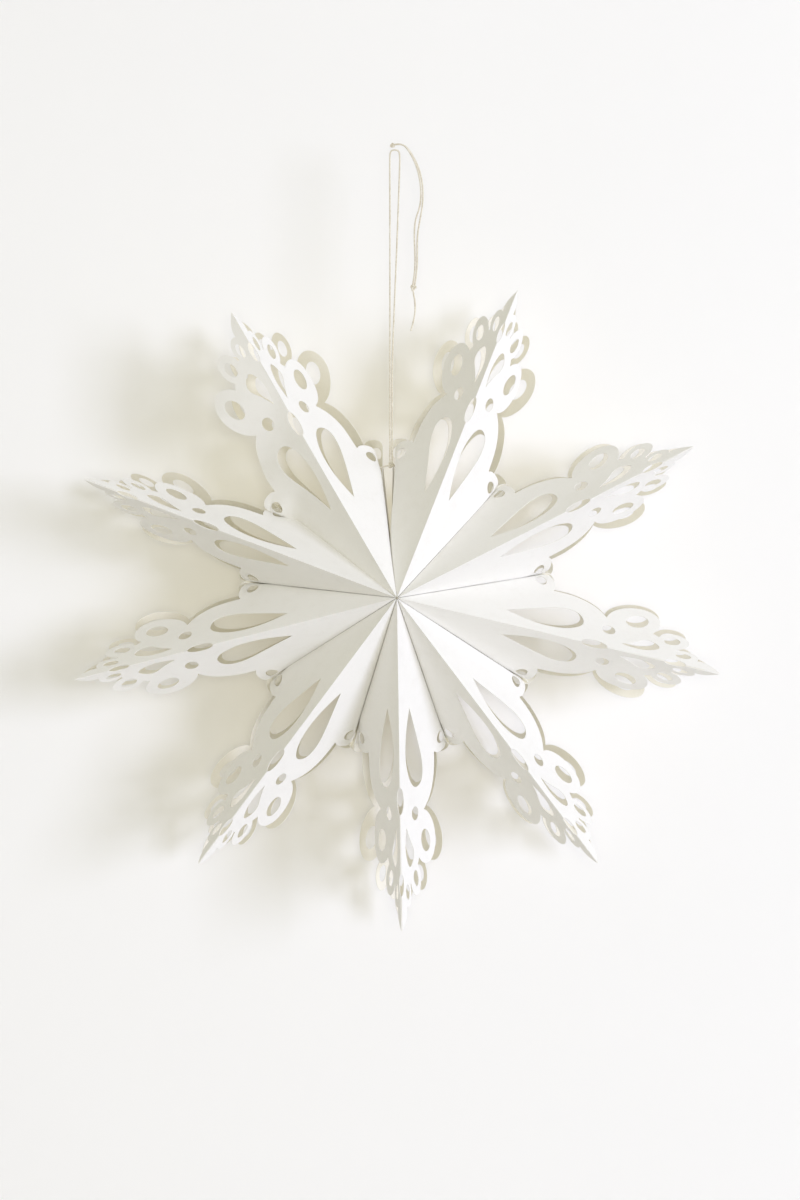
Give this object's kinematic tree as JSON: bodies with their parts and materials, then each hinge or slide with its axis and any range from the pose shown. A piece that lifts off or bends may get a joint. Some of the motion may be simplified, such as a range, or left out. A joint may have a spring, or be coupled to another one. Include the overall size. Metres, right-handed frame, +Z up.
{
  "type": "paper snowflake star",
  "caption": "Hanging white paper star of folded points with cut-out lace tips, tied at the top with cotton thread.",
  "frame": {"origin": "the axis of the nail that the thread hangs over, in the middle of the star's depth", "axes": "+Z up, the front of the star faces -Y, +X to the right seen from the front"},
  "size_m": [0.4389, 0.1224, 0.5401],
  "materials": {
    "paper": "matte white paper",
    "thread": "twisted natural cotton thread",
    "glue": "dried clear white glue"
  },
  "bodies": {
    "tail": {"hitch_knot": "thread", "tail_strand_left": "thread", "tail_strand_right": "thread", "tail_knot": "thread", "tail_end": "thread"},
    "hanging_thread": {"hanging_thread": "thread"},
    "tie": {"tie_knot": "thread", "tie_thread": "thread", "tie_stop_knots": "thread"},
    "point_1": {"star_point_1": "paper", "glue_strip_1": "glue"},
    "point_2": {"star_point_2": "paper", "glue_strip_2": "glue"},
    "point_3": {"star_point_3": "paper", "glue_strip_3": "glue"},
    "point_4": {"star_point_4": "paper", "glue_strip_4": "glue"},
    "point_5": {"star_point_5": "paper", "glue_strip_5": "glue"},
    "point_6": {"star_point_6": "paper", "glue_strip_6": "glue"},
    "point_7": {"star_point_7": "paper", "glue_strip_7": "glue"},
    "point_8": {"star_point_8": "paper", "glue_strip_8": "glue"},
    "point_9": {"star_point_9": "paper"}
  },
  "joints": [
    {"name": "swing", "type": "hinge", "parent": "tail", "child": "hanging_thread", "pos_m": [0, 0, 0], "axis": [0, 1, 0], "range_deg": [-20, 20]},
    {"name": "turn", "type": "hinge", "parent": "hanging_thread", "child": "tie", "pos_m": [-0.0026, 0, -0.2141], "axis": [0, 0, 1], "range_deg": [-25, 25], "stiffness_Nm_per_rad": 0.002},
    {"name": "fold_1", "type": "hinge", "parent": "tie", "child": "point_1", "pos_m": [0.0015, 0, -0.306], "axis": [0, 1, 0], "range_deg": [0, 20.75], "deforming": ["star_point_1", "glue_strip_1"]},
    {"name": "fan_fold", "type": "hinge", "parent": "point_1", "child": "point_2", "pos_m": [0.0015, 0, -0.306], "axis": [0, 1, 0], "range_deg": [0, 34.85], "deforming": ["star_point_2", "glue_strip_2"]},
    {"name": "fold_3", "type": "hinge", "parent": "point_2", "child": "point_3", "pos_m": [0.0015, 0, -0.306], "axis": [0, 1, 0], "range_deg": [0, 31.5], "deforming": ["star_point_3", "glue_strip_3"]},
    {"name": "fold_4", "type": "hinge", "parent": "point_3", "child": "point_4", "pos_m": [0.0015, 0, -0.306], "axis": [0, 1, 0], "range_deg": [0, 36.05], "deforming": ["star_point_4", "glue_strip_4"]},
    {"name": "fold_5", "type": "hinge", "parent": "point_4", "child": "point_5", "pos_m": [0.0015, 0, -0.306], "axis": [0, 1, 0], "range_deg": [0, 35], "deforming": ["star_point_5", "glue_strip_5"]},
    {"name": "fold_6", "type": "hinge", "parent": "point_5", "child": "point_6", "pos_m": [0.0015, 0, -0.306], "axis": [0, 1, 0], "range_deg": [0, 33.65], "deforming": ["star_point_6", "glue_strip_6"]},
    {"name": "fold_7", "type": "hinge", "parent": "point_6", "child": "point_7", "pos_m": [0.0015, 0, -0.306], "axis": [0, 1, 0], "range_deg": [0, 36.6], "deforming": ["star_point_7", "glue_strip_7"]},
    {"name": "fold_8", "type": "hinge", "parent": "point_7", "child": "point_8", "pos_m": [0.0015, 0, -0.306], "axis": [0, 1, 0], "range_deg": [0, 36.55], "deforming": ["star_point_8", "glue_strip_8"]},
    {"name": "fold_9", "type": "hinge", "parent": "point_8", "child": "point_9", "pos_m": [0.0015, 0, -0.306], "axis": [0, 1, 0], "range_deg": [0, 37.4], "deforming": ["star_point_9"]}
  ],
  "couplings": [
    {"joint": "fold_1", "follows": "fan_fold", "ratio": 0.59541},
    {"joint": "fold_3", "follows": "fan_fold", "ratio": 0.90387},
    {"joint": "fold_4", "follows": "fan_fold", "ratio": 1.0344},
    {"joint": "fold_5", "follows": "fan_fold", "ratio": 1.0043},
    {"joint": "fold_6", "follows": "fan_fold", "ratio": 0.96557},
    {"joint": "fold_7", "follows": "fan_fold", "ratio": 1.0502},
    {"joint": "fold_8", "follows": "fan_fold", "ratio": 1.0488},
    {"joint": "fold_9", "follows": "fan_fold", "ratio": 1.0732}
  ]
}
